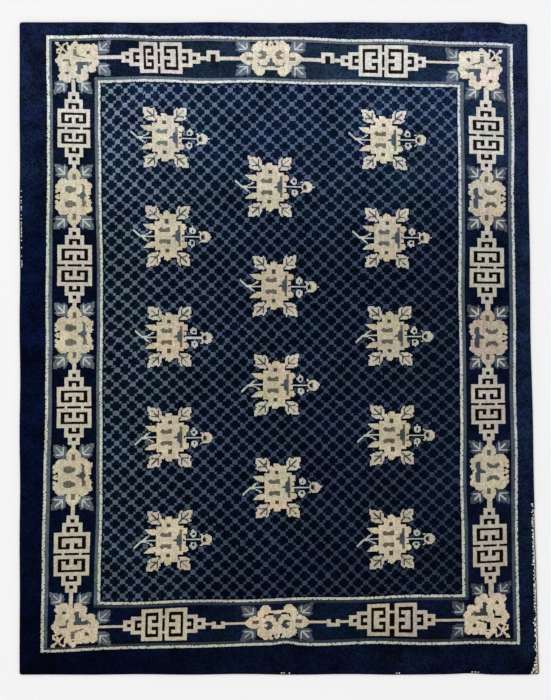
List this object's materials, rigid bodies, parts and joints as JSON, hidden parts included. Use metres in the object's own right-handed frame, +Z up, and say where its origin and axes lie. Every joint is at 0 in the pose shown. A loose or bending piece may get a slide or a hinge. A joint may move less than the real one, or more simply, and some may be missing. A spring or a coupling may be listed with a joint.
{
  "type": "chinese rug",
  "caption": "Flat hand-knotted wool rug with a slightly uneven four-sided outline, for covering and softening a floor.",
  "frame": {"origin": "on the floor, under the middle of the rug's bounding box", "axes": "+Y along the warps towards the head end, +X across the rug to the right, +Z up out of the pile"},
  "size_m": [1.8736, 2.3518, 0.01],
  "materials": {
    "wool_pile": "short cut wool pile, navy and slate blue with ivory flowers, soft sheen"
  },
  "bodies": {
    "root": {"rug": "wool_pile"}
  },
  "joints": []
}
